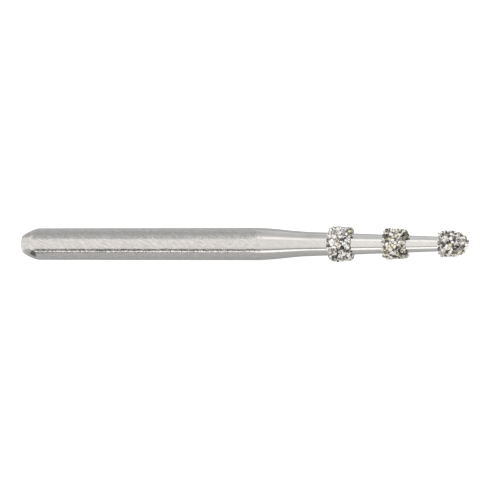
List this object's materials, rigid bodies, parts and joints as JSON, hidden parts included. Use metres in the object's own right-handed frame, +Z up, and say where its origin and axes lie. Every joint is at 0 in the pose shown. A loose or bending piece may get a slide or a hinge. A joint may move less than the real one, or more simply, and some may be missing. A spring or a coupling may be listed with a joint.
{
  "type": "dental bur",
  "caption": "Slim rotary dental cutter: a plain cylindrical shank, a tapering neck and separate bands of coarse diamond grit that cut depth grooves, the last one rounding off the tip.",
  "frame": {"origin": "centre of the shank's flat rear face", "axes": "+X along the bur's axis towards the working tip, +Z up as the bur lies on its side"},
  "size_m": [0.0228, 0.0017, 0.0016],
  "materials": {
    "steel": "stainless steel, cylindrically ground along the shank and fine-turned on the neck",
    "diamond_grit": "coarse natural diamond crystals bonded in dull nickel plating"
  },
  "bodies": {
    "root": {"steel_blank": "steel", "grit_ring_1": "diamond_grit", "grit_ring_2": "diamond_grit", "grit_tip": "diamond_grit"}
  },
  "joints": []
}
